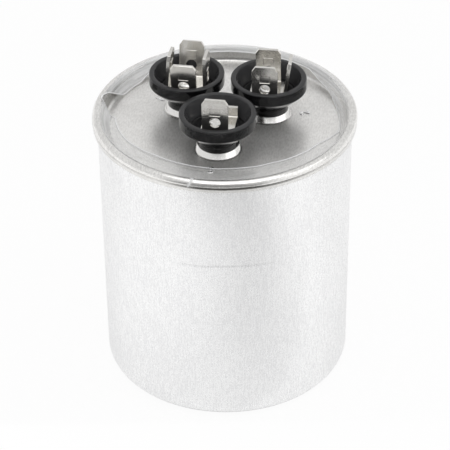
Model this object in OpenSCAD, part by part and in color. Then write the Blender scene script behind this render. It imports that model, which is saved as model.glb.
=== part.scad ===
// Round dual motor-run capacitor: a drawn can with a rolled-on lid, three
// cupped insulators with riveted push-on tabs, and a clear film sleeve.
// Base on z = 0, axis on +Z, fan terminal towards -Y.

/* [Can] */
// Outside diameter of the can wall
can_d = 63.5; // [50:0.5:80]
// Height from the base to the top of the rolled seam
seam_top = 72.8; // [50:0.1:120]
// Sheet thickness of the can wall
can_wall = 0.5; // [0.3:0.05:0.8]
// Radius of the drawn corner round the base
base_r = 2.5; // [1:0.1:5]

/* [Lid] */
// Sheet thickness of the lid
lid_t = 0.7; // [0.5:0.05:1]
// Depth of the lid panel below the top of the seam
countersink = 3.9; // [2.5:0.1:6]
// How far the seam stands out of the can wall
seam_proud = 1.25; // [1:0.05:2]
// Height of the seam from its lower edge to its top
seam_h = 2.8; // [2.5:0.1:4]
// Depth of the groove rolled round the seam
groove_depth = 0.45; // [0.1:0.05:0.6]
// Radius between the lid panel and the wall round it
panel_fillet = 1; // [0.4:0.1:1.6]
// Clearance between the can wall and the seam that holds it
seam_gap = 0.05; // [0.02:0.01:0.1]

/* [Collars] */
// Diameter of the circle that the terminals stand on
terminal_circle_d = 23.8; // [22.4:0.2:28]
// Height of the drawn collars above the lid panel
collar_h = 2.15; // [1.5:0.05:3]
// Outside diameter of a collar at its top
collar_d = 10.4; // [9.8:0.1:11]
// How much wider a collar is at its foot, on the radius
collar_flare = 0.3; // [0:0.05:0.4]
// Radius of the foot and of the top edge of a collar
collar_edge_r = 0.35; // [0.1:0.05:0.4]

/* [Insulators] */
// Outside diameter of the insulator cups
cup_d = 18.9; // [16.8:0.1:19.6]
// Height of the cup rims above the lid panel
rim_h = 10.6; // [9:0.1:14]
// Height of the straight band round the rim
band_h = 3; // [2:0.1:3.6]
// Width of the flat lip on the rim
lip_w = 1.3; // [0.9:0.1:1.6]
// Depth of the bowl from the rim to its floor
bowl_depth = 4.6; // [4:0.1:5]
// Diameter of the floor of the bowl
bowl_floor_d = 13.2; // [13:0.1:14]
// Diameter of the neck that stands on the collar
neck_d = 9.4; // [9:0.1:9.6]
// Height of the straight neck above the collar
neck_h = 0.9; // [0.4:0.1:1.4]
// Diameter of the shank that passes through the lid
shank_d = 8.6; // [6:0.1:8.6]
// Radius of the moulded edges
cup_edge_r = 0.4; // [0.1:0.05:0.45]
// Clearance of the shank in its collar and of the rivet in its bore
bore_gap = 0.05; // [0.02:0.01:0.1]

/* [Push-on tabs] */
// Width of the tabs
tab_w = 6.35; // [4.8:0.05:6.5]
// Thickness of the tab sheet
tab_t = 0.81; // [0.5:0.01:0.9]
// Height of the tabs above their plates: common, compressor, fan
tab_h = [9.2, 9.3, 10.2]; // [8.8:0.1:14]
// Width of the square plate on the floor of the cup
plate_w = 8.2; // [7.6:0.1:8.4]
// Inside radius of the bends
bend_r = 0.3; // [0.2:0.05:0.6]
// Width of the chamfers at a tab's tip
tip_w = 0.8; // [0.4:0.1:1.4]
// Height of the chamfers at a tab's tip
tip_h = 1.2; // [0.6:0.1:2]
// Diameter of the hole in a tab
hole_d = 2.7; // [1.6:0.1:3]
// Distance from a tab's tip to the middle of its hole
hole_drop = 6.2; // [5.8:0.1:6.8]
// Width of the embossed pad above the hole
pad_w = 2.5; // [1.5:0.1:3.5]
// Height of the embossed pad
pad_h = 2; // [1:0.1:2.4]
// Distance from a tab's tip to the top of the pad
pad_drop = 2.4; // [1.6:0.1:2.6]
// Depth of the emboss
pad_depth = 0.15; // [0.05:0.05:0.3]
// Height of the clipped tab of the fan terminal
stub_h = 2.6; // [2:0.1:5]
// Outward lean of the common tabs: front, back, left, right
common_lean = [8, 12, -4, -1]; // [-10:1:12]
// Outward lean of the compressor tabs: front, back, right
compressor_lean = [0, -6, 7]; // [-10:1:12]
// Outward lean of the fan tabs: front, clipped back
fan_lean = [1, -1]; // [-10:1:12]
// Turn of the common, compressor and fan terminals in their cups
terminal_turn = [-2, 1, -1]; // [-8:1:8]
// Sideways slip of their plates on the rivets
terminal_slip = [0.25, -0.5, 0.15]; // [-0.5:0.05:0.5]

/* [Rivets] */
// Diameter of the rivet shanks
rivet_d = 3.2; // [2.4:0.1:3.6]
// Diameter of the rivet heads
head_d = 4.8; // [4.4:0.1:5.4]
// Height of the rivet heads
head_h = 0.9; // [0.5:0.1:1.2]
// Diameter of the clinched tails under the lid
tail_d = 5.2; // [4.4:0.1:6]
// Height of the clinched tails
tail_h = 0.8; // [0.5:0.1:1.2]
// Diameter of the sealing washers under the lid
washer_d = 12; // [10:0.1:14]
// Thickness of the sealing washers
washer_t = 1; // [0.6:0.1:1.6]
// Space between the rivet tails and the filling of the can
fill_gap = 0.6; // [0.3:0.1:4]

/* [Film sleeve] */
// Thickness of the shrink film
film_t = 0.12; // [0.08:0.01:0.25]
// Clearance between the film and the metal under it
film_gap = 0.05; // [0.02:0.01:0.1]
// Height of the film's lower edge, on the corner of the base
film_low = 1.1; // [0.6:0.1:2.4]
// Diameter of the opening that the film leaves on the lid
film_open_d = 49; // [46:0.5:52]
// Distance of that opening from the axis, away from the fan terminal
film_open_shift = 4.2; // [0:0.1:5]

/* [Hidden] */
$fn = 96;
arc_steps = 6;
cut = 0.5;

can_r = can_d / 2;
seam_r = can_r + seam_proud;
lid_wall_r = can_r - can_wall - seam_gap;
panel_r = lid_wall_r - lid_t;
bead_r = (seam_r - panel_r) / 2;
bead_mid_r = (seam_r + panel_r) / 2;
panel_z = seam_top - countersink;
underside_z = panel_z - lid_t;
seam_low_z = seam_top - seam_h;
hook_top_z = seam_top - bead_r + seam_gap;
fill_z = underside_z - washer_t - tail_h - fill_gap;

cup_r = cup_d / 2;
shank_r = shank_d / 2;
collar_bore_r = shank_r + bore_gap;
floor_h = rim_h - bowl_depth;
plate_z = panel_z + floor_h + tab_t;
rivet_bore_r = rivet_d / 2 + bore_gap;

BACK = 0;
LEFT = 90;
FRONT = 180;
RIGHT = 270;
COMMON = 0;
COMPRESSOR = 1;
FAN = 2;
place_angle = [150, 30, -90];

// Outlines are lists of [radius, height, corner radius].
function xy(p) = [p[0], p[1]];
function unit(v) = v / norm(v);
function corner(before, here, after) =
    here[2] == 0 ? [xy(here)] :
    let (u = unit(xy(before) - xy(here)),
         v = unit(xy(after) - xy(here)),
         half = acos(u * v) / 2,
         reach = here[2] / tan(half),
         mid = xy(here) + unit(u + v) * here[2] / sin(half),
         a = xy(here) + u * reach - mid,
         b = xy(here) + v * reach - mid,
         start = atan2(a[1], a[0]),
         sweep = ((atan2(b[1], b[0]) - start + 540) % 360) - 180)
    [for (i = [0:arc_steps])
        mid + here[2] * [cos(start + sweep * i / arc_steps), sin(start + sweep * i / arc_steps)]];
function rounded(path) =
    let (n = len(path))
    [for (i = [0:n - 1]) each corner(path[(i + n - 1) % n], path[i], path[(i + 1) % n])];
function reversed(path) = [for (i = [len(path) - 1:-1:0]) path[i]];

module turned(path) {
    rotate_extrude() polygon(rounded(path));
}

module at_terminal(which) {
    rotate([0, 0, place_angle[which]])
        translate([terminal_circle_d / 2, 0, 0])
            rotate([0, 0, terminal_turn[which] - place_angle[which]])
                children();
}

module at_each_terminal() {
    for (which = [COMMON, COMPRESSOR, FAN])
        at_terminal(which) children();
}

// Impact-drawn cup with its sealed contents; its rim stands up into the seam.
module can() {
    color("#dfe0e2")
        turned([[0, 0, 0], [can_r, 0, base_r], [can_r, hook_top_z, 0],
                [can_r - can_wall, hook_top_z, 0], [can_r - can_wall, fill_z, 0], [0, fill_z, 0]]);
}

// Section of the stamped lid: panel, upright wall, rolled bead and grooved seam.
function lid_section() =
    let (bead_z = seam_top - bead_r,
         groove_z = bead_z - groove_depth / 3,
         lip_z = groove_z - groove_depth / 3)
    [[0, underside_z, 0], [0, panel_z, 0], [panel_r, panel_z, panel_fillet],
     [panel_r, seam_top, bead_r * 0.99], [seam_r, seam_top, bead_r * 0.99],
     [seam_r, bead_z, 0], [seam_r - groove_depth, groove_z, groove_depth / 5],
     [seam_r - groove_depth / 5, lip_z, groove_depth / 5], [seam_r - groove_depth / 5, seam_low_z, groove_depth / 2],
     [can_r + seam_gap, seam_low_z, 0], [can_r + seam_gap, hook_top_z + seam_gap, 0],
     [lid_wall_r, hook_top_z + seam_gap, 0], [lid_wall_r, underside_z, lid_t]];

// Section of one drawn collar, from the panel's underside to its top edge.
function collar_section() =
    let (top_r = collar_d / 2,
         foot_r = top_r + collar_flare,
         top_z = panel_z + collar_h)
    [[collar_bore_r, underside_z, 0], [collar_bore_r, top_z, 0], [top_r, top_z, collar_edge_r],
     [foot_r, panel_z, collar_edge_r], [foot_r + 2 * collar_edge_r, panel_z, 0],
     [foot_r + 2 * collar_edge_r, underside_z, 0]];

module lid() {
    color("#c9cacb")
        difference() {
            union() {
                turned(lid_section());
                at_each_terminal() turned(collar_section());
            }
            at_each_terminal()
                translate([0, 0, underside_z - cut])
                    cylinder(r = collar_bore_r, h = lid_t + collar_h + 2 * cut);
        }
}

// Moulded cup, open upwards, on a neck that stands on its collar.
module insulator(which) {
    band_z = rim_h - band_h;
    cone_z = collar_h + neck_h;
    color("#161617")
        at_terminal(which)
            translate([0, 0, panel_z])
                turned([[rivet_bore_r, -lid_t, 0], [shank_r, -lid_t, 0], [shank_r, collar_h, 0],
                        [neck_d / 2, collar_h, 0], [neck_d / 2, cone_z, cup_edge_r],
                        [cup_r, band_z, cup_edge_r], [cup_r, rim_h, cup_edge_r],
                        [cup_r - lip_w, rim_h, cup_edge_r], [bowl_floor_d / 2, floor_h, cup_edge_r],
                        [rivet_bore_r, floor_h, 0]]);
}

// Section of an arm: half of the plate, the bend at its edge and the upright part.
function arm_section(lean, length) =
    let (outer_r = bend_r + tab_t,
         half_turn = (90 - lean) / 2,
         end = [plate_w / 2, bend_r] + length * [sin(lean), cos(lean)],
         outward = [cos(lean), -sin(lean)])
    [[0, -tab_t, 0], [plate_w / 2 + outer_r * tan(half_turn), -tab_t, outer_r],
     [each (end + outer_r * outward), 0], [each (end + bend_r * outward), 0],
     [plate_w / 2 + bend_r * tan(half_turn), 0, bend_r], [0, 0, 0]];

module arm(direction, lean, width, length) {
    rotate([0, 0, direction])
        rotate([90, 0, 90])
            linear_extrude(width, center = true) polygon(rounded(arm_section(lean, length)));
}

// Foot of the upright part of an arm: inner face at y = 0, outer face at y = tab_t.
module at_upright(direction, lean) {
    rotate([0, 0, direction])
        translate([0, plate_w / 2, bend_r])
            rotate([-lean, 0, 0])
                translate([0, bend_r, 0]) children();
}

// Push-on tab: an arm with a chamfered tip, an embossed pad and a hole.
module tab(direction, lean, height) {
    half = tab_w / 2;
    length = height - bend_r;
    pad_z = length - pad_drop - pad_h;
    difference() {
        union() {
            arm(direction, lean, tab_w, length);
            at_upright(direction, lean)
                translate([-pad_w / 2, -pad_depth, pad_z]) cube([pad_w, tab_t, pad_h]);
        }
        at_upright(direction, lean) {
            translate([-pad_w / 2, tab_t - pad_depth, pad_z]) cube([pad_w, tab_t, pad_h]);
            translate([0, -cut, length - hole_drop])
                rotate([-90, 0, 0]) cylinder(d = hole_d, h = tab_t + 2 * cut);
            for (side = [-1, 1])
                translate([0, tab_t + cut, 0])
                    rotate([90, 0, 0])
                        linear_extrude(tab_t + 2 * cut)
                            polygon([[side * (half - 2 * tip_w), length + tip_h],
                                     [side * (half + tip_w), length - 2 * tip_h],
                                     [side * (half + tip_w), length + tip_h]]);
        }
    }
}

// Stamped plate, riveted to the floor of its cup, with its folded tabs.
module terminal(which, directions, leans) {
    color("#b9b6ae")
        at_terminal(which)
            translate([0, 0, plate_z])
                difference() {
                    translate([terminal_slip[which], 0, 0]) {
                        translate([-plate_w / 2, -plate_w / 2, -tab_t]) cube([plate_w, plate_w, tab_t]);
                        for (i = [0:len(directions) - 1])
                            tab(directions[i], leans[i], tab_h[which]);
                        children();
                    }
                    translate([0, 0, -tab_t - cut]) cylinder(r = rivet_bore_r, h = tab_t + 2 * cut);
                }
}

module terminal_common() {
    terminal(COMMON, [FRONT, BACK, LEFT, RIGHT], common_lean);
}

module terminal_compressor() {
    terminal(COMPRESSOR, [FRONT, BACK, RIGHT], compressor_lean);
}

// The tab at the back is clipped off short, as wide as the plate.
module terminal_fan() {
    terminal(FAN, [FRONT], fan_lean)
        arm(BACK, fan_lean[1], plate_w, stub_h - bend_r);
}

// Rivets clamp plate, insulator, lid and washer; their tails are clinched inside.
module rivets() {
    clinch_z = underside_z - washer_t;
    color("#d2d2d0")
        at_each_terminal()
            turned([[0, clinch_z - tail_h, 0], [tail_d / 2, clinch_z - tail_h, tail_h / 2],
                    [tail_d / 2, clinch_z, 0], [rivet_d / 2, clinch_z, 0], [rivet_d / 2, plate_z, 0],
                    [head_d / 2, plate_z, 0], [head_d / 2, plate_z + head_h, head_h * 0.7],
                    [0, plate_z + head_h, 0]]);
}

// Soft washers that seal the shank holes on the inside of the lid.
module sealing_washers() {
    color("#3a3a3c")
        at_each_terminal()
            turned([[rivet_bore_r, underside_z - washer_t, 0], [washer_d / 2, underside_z - washer_t, 0],
                    [washer_d / 2, underside_z, 0], [rivet_bore_r, underside_z, 0]]);
}

// Outline that lies a distance outside the can, the seam and the lid panel.
function skin(away) =
    let (step = film_gap + film_t)
    [[can_r + away - base_r, -away, 0], [can_r + away, -away, base_r + away],
     [can_r + away, seam_low_z - away, step - away + film_gap],
     [seam_r + away, seam_low_z - away, away + film_gap],
     [seam_r + away, seam_top + away, bead_r + away], [panel_r - away, seam_top + away, (bead_r + away) * 0.99],
     [panel_r - away, panel_z + away, panel_fillet - away],
     [film_open_d / 2 - film_open_shift - cut, panel_z + away, 0]];

// Shrink sleeve: round the can, over the seam and on to the edge of the lid.
module film_sleeve() {
    color("#e8ecf0", 0.35)
        difference() {
            turned(concat(skin(film_gap + film_t), reversed(skin(film_gap))));
            translate([0, film_open_shift, panel_z])
                cylinder(d = film_open_d, h = countersink);
            translate([0, 0, film_low - can_r])
                cylinder(r = can_r + seam_proud, h = can_r);
        }
}

can();
lid();
insulator(COMMON);  // insulator_common
insulator(COMPRESSOR);  // insulator_compressor
insulator(FAN);  // insulator_fan
terminal_common();
terminal_compressor();
terminal_fan();
rivets();
sealing_washers();
film_sleeve();
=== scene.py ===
import math

import bmesh
import bpy
import numpy as np
from mathutils import Matrix, Vector, noise


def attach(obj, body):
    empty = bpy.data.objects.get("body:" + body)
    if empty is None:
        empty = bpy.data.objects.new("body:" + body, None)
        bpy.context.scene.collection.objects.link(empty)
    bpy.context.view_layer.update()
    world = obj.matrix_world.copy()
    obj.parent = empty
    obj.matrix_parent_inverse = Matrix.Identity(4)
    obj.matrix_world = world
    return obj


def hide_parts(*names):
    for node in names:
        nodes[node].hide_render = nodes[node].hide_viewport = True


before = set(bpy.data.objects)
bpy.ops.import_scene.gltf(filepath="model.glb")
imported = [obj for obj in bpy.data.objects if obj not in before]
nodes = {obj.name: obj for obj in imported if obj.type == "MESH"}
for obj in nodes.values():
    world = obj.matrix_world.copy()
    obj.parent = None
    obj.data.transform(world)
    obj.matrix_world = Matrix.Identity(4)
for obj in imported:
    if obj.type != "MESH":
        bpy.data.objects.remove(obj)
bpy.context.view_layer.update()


# Can: a deep cup drawn from bright aluminium, with the wound element sealed in it.
# Drawing leaves fine upright lines on the wall, and handling leaves duller patches.


class Wire:
    """An output socket of a finish; arithmetic on it adds Math nodes."""

    def __init__(self, socket):
        self.socket = socket

    def node(self, kind, settings={}, sockets={}, output=0):
        """Adds any other node: its settings first, then the values or wires of its sockets."""
        tree = self.socket.id_data
        made = tree.nodes.new("ShaderNode" + kind)
        for name, value in settings.items():
            setattr(made, name, value)
        for name, value in sockets.items():
            if isinstance(value, Wire):
                tree.links.new(value.socket, made.inputs[name])
            else:
                made.inputs[name].default_value = value
        return Wire(made.outputs[output])

    def maths(self, operation, *values):
        return self.node("Math", {"operation": operation}, dict(enumerate(values)))

    def __add__(self, other):
        return self.maths("ADD", self, other)

    def __sub__(self, other):
        return self.maths("SUBTRACT", self, other)

    def __rsub__(self, other):
        return self.maths("SUBTRACT", other, self)

    def __mul__(self, other):
        return self.maths("MULTIPLY", self, other)

    __radd__, __rmul__ = __add__, __mul__

    def least(self, other):
        return self.maths("MINIMUM", self, other)

    def most(self, other):
        return self.maths("MAXIMUM", self, other)

    def along(self, axis):
        """One coordinate of this wire: X, Y or Z."""
        return self.node("SeparateXYZ", {}, {0: self}, axis)

    def grain(self, scale, stretch=(1, 1, 1), detail=3.0):
        """Noise from 0 to 1 on these coordinates, stretched along an axis whose factor is small."""
        spread = self.node("Mapping", {}, {"Vector": self, "Scale": stretch})
        return self.node("TexNoise", {}, {"Vector": spread, "Scale": scale, "Detail": detail})

    def between(self, low, high):
        """This wire's values from low to high, spread over 0 to 1."""
        return self.node("MapRange", {}, {"Value": self, "From Min": low, "From Max": high})

    def tint(self, first, second):
        """A colour that goes from the first, or a wire's, to the second as this wire goes from 0 to 1."""
        start = first if isinstance(first, Wire) else (*first, 1)
        return self.node("Mix", {"data_type": "RGBA"}, {0: self, 6: start, 7: (*second, 1)}, 2)

    def relief(self, strength, depth):
        """Normals of a surface that is as uneven as this wire says."""
        return self.node("Bump", {}, {"Height": self, "Strength": strength, "Distance": depth})

    def into(self, shader, socket):
        self.socket.id_data.links.new(self.socket, shader.inputs[socket])


def new_finish(name, **constants):
    """Principled material with these constant sockets, and the wire of its Object coordinates."""
    material = bpy.data.materials.new(name)
    material.use_nodes = True
    shader = material.node_tree.nodes["Principled BSDF"]
    for socket, value in constants.items():
        shader.inputs[socket.replace("_", " ")].default_value = value
    place = Wire(material.node_tree.nodes.new("ShaderNodeTexCoord").outputs["Object"])
    return material, shader, place


can_dull, can_bright, can_contact_shade = (0.88, 0.88, 0.885), (0.975, 0.975, 0.975), (0.4, 0.4, 0.4)
drawn_aluminium, shader, place = new_finish("drawn_aluminium", Metallic=1.0)
drawing_lines = place.grain(3000, (1, 1, 0.12))
mottle = place.grain(3000, (1, 1, 0.6))
dull_patches = place.grain(110, (1, 1, 0.6))
wear = 0.40 * drawing_lines + 0.45 * mottle + 0.15 * dull_patches
tone = wear.between(0.45, 0.55).tint(can_dull, can_bright)
# Painted shade: the wall darkens within 1.4 mm of the base, a contact shade where the can stands on the
# table.
base_edge = 0.7 * place.along("Z").between(0.0014, 0.0008)
base_edge.tint(tone, can_contact_shade).into(shader, "Base Color")
(0.18 + 0.16 * wear).into(shader, "Roughness")
(drawing_lines + mottle).relief(0.13, 0.00005).into(shader, "Normal")
nodes["can"].material_slots[0].material = drawn_aluminium


# Lid: a stamped aluminium cover, rolled on to the can with a seam.
# The panel keeps the dull grain of its rolling and the rollers burnish the seam. Painted shade darkens the
# groove round the seam (strongest across the middle, from x = -1 to 10 mm), the skirt under the seam and
# the foot of each collar, a painted dark reflection darkens the upright wall inside the seam where the film
# leaves it bare, and a painted highlight lightens the collars.
lid_dull, lid_bright, lid_shade_colour = (0.82, 0.81, 0.79), (0.975, 0.965, 0.945), (0.12, 0.115, 0.105)
can_axis = (0, 0, 0)
terminal_axes = ((-0.01031, 0.00595, 0), (0.01031, 0.00595, 0), (0, -0.0119, 0))


def from_axis(place, axis):
    """Level distance of a surface's points from an upright axis."""
    level = place.node("VectorMath", {"operation": "MULTIPLY"}, {0: place, 1: (1, 1, 0)})
    return level.node("VectorMath", {"operation": "DISTANCE"}, {0: level, 1: axis}, 1)


def from_nearest_terminal(place):
    """Level distance of a surface's points from the axis of the terminal that is nearest."""
    common, compressor, fan = (from_axis(place, axis) for axis in terminal_axes)
    return fan.least(common.least(compressor))


rolled_lid, shader, place = new_finish("rolled_lid")
sheet_grain = place.grain(2600, (1, 0.35, 1))
stains = place.grain(160)
wear = 0.7 * sheet_grain + 0.3 * stains
across, behind, height = place.along("X"), place.along("Y"), place.along("Z")
# Each mask rises from 0 to 1 between two radii, heights or other distances, in metres.
radius = from_axis(place, can_axis)
on_seam = radius.between(0.0303, 0.0312)
bare_back = 0.55 * behind.between(0.017, 0.020)
bare_left = behind.between(-0.001, 0.001) * across.between(-0.028, -0.029)
on_wall = radius.between(0.0301, 0.0304) * radius.between(0.0314, 0.0312) * bare_back.most(bare_left)
on_skirt = radius.between(0.0326, 0.0328) * height.between(0.0712, 0.0711)
in_middle = across.between(-0.011, -0.001) * across.between(0.028, 0.010)
in_groove = (radius.between(0.0320, 0.0322) * radius.between(0.03298, 0.03290)
             * height.between(0.07085, 0.07095) * height.between(0.07192, 0.07182)
             * (0.15 + 0.85 * in_middle))
to_collar = from_nearest_terminal(place)
on_collar = to_collar.between(0.0059, 0.0056)
collar_foot = to_collar.between(0.0056, 0.0058) * to_collar.between(0.0063, 0.0060)
# Painted shade: the groove, the skirt and the collar feet are darkened, and the bare wall gets a painted
# dark reflection.
painted_shade = 0.65 * on_wall + 0.12 * on_skirt + in_groove + 0.2 * collar_foot
# Painted highlight: the collars' colour is lightened towards the bright tone.
tone = (wear.between(0.40, 0.60) + 0.7 * on_collar).tint(lid_dull, lid_bright)
painted_shade.tint(tone, lid_shade_colour).into(shader, "Base Color")
worked = on_seam.most(on_collar)
(0.72 + 0.28 * worked).into(shader, "Metallic")
(0.25 + 0.12 * wear - 0.10 * worked).into(shader, "Roughness")
rounding = -0.0015 * height.between(0.0689, 0.07105) * on_collar
(0.00002 * sheet_grain * (1 - worked) + rounding).relief(1.0, 1.0).into(shader, "Normal")
nodes["lid"].material_slots[0].material = rolled_lid


# Insulators: three cups moulded in glossy black plastic, each on a neck that stands on a collar.
# Painted sheen pales the bowls and, more thinly, the tops of the rims, and the flow of the moulding varies
# the black at random.
clean_black, pale_black = (0.004, 0.004, 0.0045), (0.052, 0.052, 0.054)
black_moulding, shader, place = new_finish("black_moulding", IOR=1.5, Specular_IOR_Level=0.34)
flow = place.grain(260)
specks = place.grain(3500, detail=1.0)
height = place.along("Z")
in_bowl = from_nearest_terminal(place).between(0.0084, 0.0080) * height.between(0.0750, 0.0755)
on_rim = height.between(0.0790, 0.0793)
# Painted sheen on the bowls and rim tops, on top of a random tone from the flow.
flow_and_painted_sheen = 0.12 * flow.between(0.3, 0.7) + 0.88 * in_bowl.most(0.55 * on_rim)
flow_and_painted_sheen.tint(clean_black, pale_black).into(shader, "Base Color")
(0.06 + 0.06 * flow + 0.04 * specks).into(shader, "Roughness")
flow.relief(0.04, 0.0002).into(shader, "Normal")
for name in ("insulator_common", "insulator_compressor", "insulator_fan"):
    nodes[name].material_slots[0].material = black_moulding


# Terminals: tabs stamped from tinned brass sheet and folded up from a plate in each cup.
# The tin is slightly warm in tone and carries fine scratches from the press.
tin_dull, tin_bright = (0.74, 0.725, 0.69), (0.88, 0.865, 0.83)
tinned_sheet, shader, place = new_finish("tinned_sheet", Metallic=1.0)
scratches = place.grain(3000, (1, 1, 0.15))
bloom = place.grain(500)
wear = 0.5 * scratches + 0.5 * bloom
wear.between(0.35, 0.65).tint(tin_dull, tin_bright).into(shader, "Base Color")
(0.17 + 0.10 * wear).into(shader, "Roughness")
scratches.relief(0.1, 0.00004).into(shader, "Normal")
for name in ("terminal_common", "terminal_compressor", "terminal_fan"):
    nodes[name].material_slots[0].material = tinned_sheet
    joined = nodes[name].modifiers.new("joined faces", "WELD")
    joined.merge_threshold = 0.000002
    rubbed = nodes[name].modifiers.new("rubbed edges", "BEVEL")
    rubbed.width = 0.00034
    rubbed.segments = 3
    rubbed.limit_method = "ANGLE"
    rubbed.angle_limit = math.radians(40)


# Rivets: bright plated pins, each of which holds a terminal down in its cup.
# Their heads are peened, which leaves shallow dents and a patchy shine.
plating_dull, plating_bright = (0.80, 0.79, 0.77), (0.92, 0.915, 0.90)
plated_rivet, shader, place = new_finish("plated_rivet", Metallic=1.0)
peening = place.grain(1500)
peening.between(0.3, 0.7).tint(plating_dull, plating_bright).into(shader, "Base Color")
(0.16 + 0.18 * peening).into(shader, "Roughness")
peening.relief(0.25, 0.0001).into(shader, "Normal")
nodes["rivets"].material_slots[0].material = plated_rivet


# Sealing washers: rings of soft black rubber that the rivets clamp under the lid.
# They seal the holes for the rivets, and nothing of them shows from outside.
rubber_dark, rubber_bloomed = (0.03, 0.03, 0.03), (0.06, 0.06, 0.06)
sealing_rubber, shader, place = new_finish("sealing_rubber")
bloom = place.grain(900)
bloom.tint(rubber_dark, rubber_bloomed).into(shader, "Base Color")
(0.6 + 0.3 * bloom).into(shader, "Roughness")
nodes["sealing_washers"].material_slots[0].material = sealing_rubber


# Film sleeve: clear shrink film round the whole can, turned over the seam on to the lid and taut across
# the corner between them. It shrank unevenly: its edge wanders over the lid and falls short at the left
# and at the back, and a crease runs round the can. Painted highlight draws the film's edge and a fold
# across the seam in front as white lines, and painted shade darkens the crease.
film_thickness = 0.00010
turns = 540
# The other sizes are in mm and angles round the can in degrees, from +X towards +Y.
wall_r, seam_r, crest_z = 31.92, 33.17, 72.97
bead_z, bead_r, bead_middle_r = 71.55, 1.42, wall_r - 0.17
bridge_turn, bridge_end, panel_z = math.radians(60), 5.2, 69.07
crease_z, crease_middle, crease_reach, crease_fade = 47.3, -82, 27, 14
fold_at_crest, fold_lean, fold_reach, fold_width = -96.3, 0.7, 2.2, 0.7
lip_rows = 26
# The last rows lie this far from the film's edge, and the others spread over the rest of the lip.
hem_rows = (0.24, 0.12, 0.0)
hem_width = 0.4
spread_rows = lip_rows - len(hem_rows)
# How far the film reaches in from the crest of the seam, as (angle, reach).
film_reach = (
    (-178.5, 6.3), (-165, 7.6), (-152, 8.8), (-145, 9.8), (-128, 11.8), (-113, 12.5), (-99, 12.8),
    (-72, 12.8), (-52, 12.2), (-31, 10.4), (-16, 8.9), (-8, 7.0), (-4, 5.9), (-1, 5.4), (5, 5.3),
    (14, 5.3), (22, 5.1), (25.5, 4.9), (31, 4.15), (38, 3.7), (44, 3.4), (48, 2.8), (52, 2.2),
    (57, 2.2), (70, 2.2), (120, 2.2), (132, 2.6), (139, 3.8), (146, 5.0), (161, 5.1), (165, 3.6),
    (169, 1.9), (173, 0.7), (176, 0.4), (178.6, 0.5), (179.6, 2.6), (180.6, 4.8),
)


def reach_at(angle):
    """Reach of the film over the lid at an angle, with the corners of the list eased."""
    angles, reaches = zip(*film_reach)
    return np.interp(angle + np.linspace(-1.6, 1.6, 9), angles, reaches, period=360).mean()


def lip_point(s):
    """Radius and height of the film at a distance s inwards from the crest of the seam."""
    turn = min(s / bead_r, bridge_turn)
    r, z = bead_middle_r - bead_r * math.sin(turn), bead_z + bead_r * math.cos(turn)
    s -= bead_r * turn
    slope = (z - panel_z) / math.sin(bridge_turn)
    down = min(s, slope)
    return r - down * math.cos(bridge_turn) - (s - down), z - down * math.sin(bridge_turn)


def swell(angle, middle, width):
    """1 at the middle angle, fading to 0 on both sides of it."""
    return math.exp(-((angle - middle) / width) ** 2)


def clamped(value):
    """The value, kept from 0 to 1."""
    return min(1.0, max(0.0, value))


outline = [(31.52, 1.1), (31.8, 1.7), (wall_r, 2.5), (wall_r, 12), (wall_r, 24), (wall_r, 36), (wall_r, 44)]
outline += [(wall_r, crease_z + step) for step in (-1.6, -0.6, -0.15, 0, 0.15, 0.6, 1.6)]
outline += [(wall_r, 56), (wall_r, 64), (wall_r, 69.4), (32.0, 69.7), (32.3, 69.83), (32.85, 69.85)]
outline += [(33.1, 69.95), (seam_r, 70.2), (seam_r, bead_z - 0.4)]
outline += [(bead_middle_r + bead_r * math.cos(a), bead_z + bead_r * math.sin(a))
            for a in (i * math.pi / 16 for i in range(8))]
first_lip_row = len(outline)
# The lip starts 10 mm long all round, and gets its own reach at each angle below.
outline += [lip_point(10 * i / lip_rows) for i in range(lip_rows + 1)]

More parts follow.
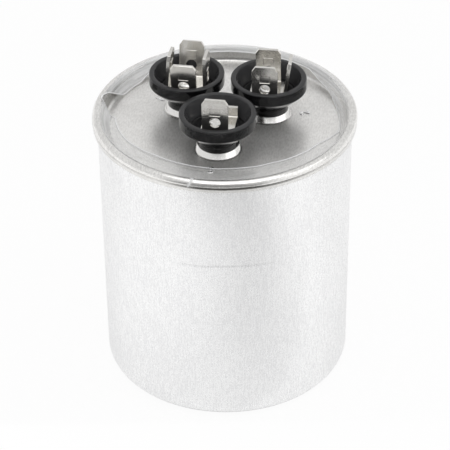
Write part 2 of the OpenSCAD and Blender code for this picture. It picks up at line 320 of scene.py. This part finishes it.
bm = bmesh.new()
row_of = bm.verts.layers.int.new("row")
hem_of = bm.verts.layers.float.new("hem")
veil_of = bm.verts.layers.float.new("veil")
crease_of = bm.verts.layers.float.new("crease")
chain = []
for row, (r, z) in enumerate(outline):
    vert = bm.verts.new((r / 1000, 0, z / 1000))
    vert[row_of] = row
    chain.append(vert)
for low, high in zip(chain, chain[1:]):
    bm.edges.new((low, high))
bmesh.ops.spin(bm, geom=bm.verts[:] + bm.edges[:], cent=(0, 0, 0), axis=(0, 0, 1),
               angle=2 * math.pi, steps=turns, use_merge=True)
for vert in bm.verts:
    angle = math.atan2(vert.co.y, vert.co.x)
    around = Vector((math.cos(angle), math.sin(angle), 0))
    degrees = math.degrees(angle)
    row = vert[row_of] - first_lip_row
    to_crease = vert.co.z * 1000 - crease_z
    s = 0.0
    if row >= 0:
        reach = reach_at(degrees) + 0.05 * noise.noise(around * 14) + 0.02 * noise.noise(around * 45)
        if row > spread_rows:
            s = reach - hem_rows[row - spread_rows - 1]
            # Painted highlight: these last rows are drawn nearly opaque white by the shader.
            vert[hem_of] = 1 - 0.6 * swell(degrees, 25, 28)
        else:
            s = (reach - hem_width) * row / spread_rows
        r, z = lip_point(s)
        loose = max(0.0, s - bridge_end) / 9
        ripple = 0.5 + 0.5 * noise.noise(Vector((around.x * 5, around.y * 5, s / 4)))
        z += loose * (0.10 + 0.30 * ripple)
        vert.co = around * (r / 1000) + Vector((0, 0, z / 1000))
        streak = 0.9 + 0.9 * noise.noise(Vector((around.x * 2.5, around.y * 2.5, 1.6 * s)))
        on_bridge = clamped((s - 0.5) / 0.8 + 1.2 * max(0.0, around.y)) * (1.0 if s < bridge_end else 0.3)
        clearer = (1 - 0.45 * swell(degrees, -85, 14)) * (1 - 0.6 * swell(degrees, 8, 22))
        vert[veil_of] = streak * on_bridge * clearer
    elif abs(to_crease) < 2:
        front = max(0.0, math.cos(angle + math.pi / 2))
        push = 0.10 * front * max(0.0, 1 - abs(to_crease) / 0.6)
        wander = 0.45 * swell(degrees, -81, 12) + 0.12 * noise.noise(around * 9)
        vert.co = around * ((wall_r + push) / 1000) + Vector((0, 0, vert.co.z + wander / 1000))
        if abs(to_crease) < 0.1:
            vert[crease_of] = clamped((crease_reach - abs(degrees - crease_middle)) / crease_fade)
    to_fold = abs(degrees - fold_at_crest + fold_lean * (crest_z - vert.co.z * 1000))
    if vert.co.z > 0.0715 and s < fold_reach and to_fold < fold_width:
        # Painted highlight: the fold across the seam is drawn as a white line, like the edge.
        vert[hem_of] = 0.8 * (1 - to_fold / fold_width)
bmesh.ops.recalc_face_normals(bm, faces=bm.faces[:])
film_mesh = bpy.data.meshes.new("shrink_film")
bm.to_mesh(film_mesh)
bm.free()
for face in film_mesh.polygons:
    face.use_smooth = True
shrink_film = bpy.data.objects.new("shrink_film", film_mesh)
bpy.context.scene.collection.objects.link(shrink_film)
wall = shrink_film.modifiers.new("film thickness", "SOLIDIFY")
wall.thickness = film_thickness
wall.offset = -1

film_clear, film_crease_shade = (0.97, 0.975, 0.98), (0.40, 0.40, 0.41)
clear_film, shader, place = new_finish("clear_film", IOR=1.5, Specular_IOR_Level=0.5)
haze = place.grain(120)
hem, veil, crease = (
    place.node("Attribute", {"attribute_name": name}, output=2) for name in ("hem", "veil", "crease"))
# Painted shade: the crease line is darkened.
crease.tint(film_clear, film_crease_shade).into(shader, "Base Color")
# Painted highlight: the edge rows and the fold are made nearly opaque white.
(0.006 + 0.016 * haze + 0.85 * hem + 0.48 * veil + 0.23 * crease).into(shader, "Alpha")
(0.12 + 0.12 * haze).into(shader, "Roughness")
haze.relief(0.05, 0.0003).into(shader, "Normal")
film_mesh.materials.append(clear_film)
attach(shrink_film, "root")
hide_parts("film_sleeve")


# Terminal numbers: small plain numerals pressed up from the lid, one beside each terminal.
# The punch leaves them smoother and brighter than the grain of the panel round them.
number_height, number_rise, number_edge = 0.0034, 0.00008, 0.0001
lid_panel_z = 0.0689
# Each numeral with its angle round the can in degrees and its distance from the can's axis.
number_places = (("1", 153, 0.0202), ("2", 20, 0.0206), ("3", -91, 0.0216))
punched_dull, punched_bright = (0.80, 0.80, 0.80), (0.96, 0.96, 0.96)
punched_metal, shader, place = new_finish("punched_metal", Metallic=1.0)
patchy = place.grain(2500)
patchy.between(0.35, 0.6).tint(punched_dull, punched_bright).into(shader, "Base Color")
(0.15 + 0.2 * patchy).into(shader, "Roughness")
for numeral, degrees, from_middle in number_places:
    letter = bpy.data.curves.new("number_" + numeral, "FONT")
    letter.body = numeral
    letter.size = number_height
    letter.align_x, letter.align_y = "CENTER", "CENTER"
    letter.extrude = number_rise
    letter.bevel_depth = number_edge
    written = bpy.data.objects.new("written_number", letter)
    bpy.context.scene.collection.objects.link(written)
    bpy.context.view_layer.update()
    shown = written.evaluated_get(bpy.context.evaluated_depsgraph_get())
    number_mesh = bpy.data.meshes.new_from_object(shown)
    bpy.data.objects.remove(written)
    angle = math.radians(degrees)
    spot = (from_middle * math.cos(angle), from_middle * math.sin(angle), lid_panel_z)
    number_mesh.transform(Matrix.Translation(spot) @ Matrix.Rotation(angle + math.pi / 2, 4, "Z"))
    number_mesh.materials.clear()
    number_mesh.materials.append(punched_metal)
    number = bpy.data.objects.new("number_" + numeral, number_mesh)
    bpy.context.scene.collection.objects.link(number)
    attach(number, "root")


# Table, lamps and camera: a plain pale table in a pale room, one soft box above and one at the right.
# The table dims towards the can and behind it where metal mirrors it.
# The camera stands where the photograph was taken from.
azimuth, elevation, roll = (math.radians(a) for a in (8.2, 35.34, -0.68))
bm = bmesh.new()
bmesh.ops.create_circle(bm, cap_ends=True, segments=96, radius=1.0)
table_mesh = bpy.data.meshes.new("table")
bm.to_mesh(table_mesh)
bm.free()
table = bpy.data.objects.new("table", table_mesh)
bpy.context.scene.collection.objects.link(table)
table_paper, shader, place = new_finish(
    "table_paper", Base_Color=(0.9, 0.9, 0.9, 1), Roughness=0.9, Specular_IOR_Level=0.1)
seen = place.node("LightPath", output="Is Camera Ray")
mirrored = place.node("LightPath", output="Is Glossy Ray")
through = place.node("LightPath", output="Is Transmission Ray")
lit = place.node("Emission", {}, {"Color": (1, 1, 1, 1), "Strength": 1.0})
near = place.node("VectorMath", {"operation": "LENGTH"}, {0: place}, 1).between(0.070, 0.034)
beyond = place.along("Y").between(-0.020, 0.030)
glow = 0.94 * seen + (1 - 0.3 * near - 0.36 * beyond) * mirrored + through
paper = Wire(shader.outputs[0])
surface = place.node("MixShader", {}, {0: glow, 1: paper, 2: lit})
surface.into(table_paper.node_tree.nodes["Material Output"], "Surface")
table_mesh.materials.append(table_paper)

# A glowing card, hidden from the camera, lies before the can and is mirrored in its wall and in the tabs.
# Its glow is painted light that stands in for a lit sheet, and painted shade darkens it far from the can,
# close to the can and along a band across it.
card_width, card_length, card_middle, card_lift = 0.20, 0.206, -0.137, 0.0005
card_pale, card_dark = (0.99, 0.99, 0.99), (0.15, 0.15, 0.15)
band_turn, band_offset = math.radians(23), 0.012
bm = bmesh.new()
bmesh.ops.create_grid(bm, x_segments=1, y_segments=1, size=0.5)
bmesh.ops.scale(bm, vec=(card_width, card_length, 1), verts=bm.verts[:])
bmesh.ops.translate(bm, vec=(0, card_middle, card_lift), verts=bm.verts[:])
bmesh.ops.rotate(bm, cent=(0, 0, 0), matrix=Matrix.Rotation(azimuth, 3, "Z"), verts=bm.verts[:])
card_mesh = bpy.data.meshes.new("glowing_card")
bm.to_mesh(card_mesh)
bm.free()
glowing_card = bpy.data.objects.new("glowing_card", card_mesh)
glowing_card.visible_camera = False
glowing_card.visible_shadow = False
bpy.context.scene.collection.objects.link(glowing_card)
card_glow, shader, place = new_finish(
    "card_glow", Base_Color=(0, 0, 0, 1), Roughness=0.9, Specular_IOR_Level=0.0, Emission_Strength=1.0)
near = place.node("VectorMath", {"operation": "LENGTH"}, {0: place}, 1).between(0.070, 0.034)
over_band = (math.cos(band_turn), math.sin(band_turn), 0)
aside = place.node("VectorMath", {"operation": "DOT_PRODUCT"}, {0: place, 1: over_band}, 1) - band_offset
band = aside.maths("ABSOLUTE", aside).between(0.072, 0.015)
away = place.along("Y")
far = away.between(-0.134, -0.158)
fading = (0.15 + 0.10 * away.between(-0.034, -0.080)) * band
# Painted shade on the glowing card: darker far away, close to the can and along the band.
shade = far.most((0.13 * near).most(fading))
shade.tint(card_pale, card_dark).into(shader, "Emission Color")
card_mesh.materials.append(card_glow)

# The room is white to the camera and dimmer as light.
# Metal mirrors it darker in front and paler low down at the sides.
world = bpy.data.worlds.new("studio")
world.use_nodes = True
bpy.context.scene.world = world
sky = world.node_tree.nodes["Background"]
sky.inputs["Color"].default_value = (1, 1, 1, 1)
seen = Wire(world.node_tree.nodes.new("ShaderNodeLightPath").outputs["Is Camera Ray"])
mirrored = seen.node("LightPath", output="Is Glossy Ray")
through = seen.node("LightPath", output="Is Transmission Ray")
direction = seen.node("TexCoord", output="Generated")
dim_front = direction.along("Y").between(-0.60, -0.80)
aside = direction.along("X")
low = direction.along("Z").between(0.25, 0.12)
side_wall = low * aside.maths("ABSOLUTE", aside).between(0.45, 0.65)
in_metal = (0.02 + 0.28 * side_wall - 0.47 * dim_front) * mirrored
(0.70 + 0.30 * seen + in_metal + 0.30 * through).into(sky, "Strength")

lamp_target = Vector((0, 0, 0.05))
for name, spot, size, power in (
    ("soft_box_above", (0.02, -0.10, 0.80), (0.50, 0.70), 1.1),
    ("soft_box_right", (0.55, -0.05, 0.62), (0.60, 0.60), 0.6),
):
    lamp = bpy.data.lights.new(name, "AREA")
    lamp.shape = "RECTANGLE"
    lamp.size, lamp.size_y = size
    lamp.energy = power
    box = bpy.data.objects.new(name, lamp)
    box.location = spot
    box.rotation_euler = (lamp_target - Vector(spot)).to_track_quat("-Z", "Y").to_euler()
    bpy.context.scene.collection.objects.link(box)

camera_target, camera_distance, camera_aside = Vector((0, 0, 0.03763)), 0.509, -0.00025
back = Vector((math.sin(azimuth) * math.cos(elevation),
               -math.cos(azimuth) * math.cos(elevation),
               math.sin(elevation)))
right = Vector((math.cos(azimuth), math.sin(azimuth), 0))
up = back.cross(right)
right, up = right * math.cos(roll) + up * math.sin(roll), up * math.cos(roll) - right * math.sin(roll)
lens = bpy.data.cameras.new("camera")
lens.lens = 157.36
lens.sensor_width = 36
camera = bpy.data.objects.new("camera", lens)
stand = camera_target + camera_aside * right + camera_distance * back
camera.matrix_world = Matrix.Translation(stand) @ Matrix((right, up, back)).transposed().to_4x4()
bpy.context.scene.collection.objects.link(camera)
bpy.context.scene.camera = camera
bpy.context.scene.view_settings.view_transform = "Standard"
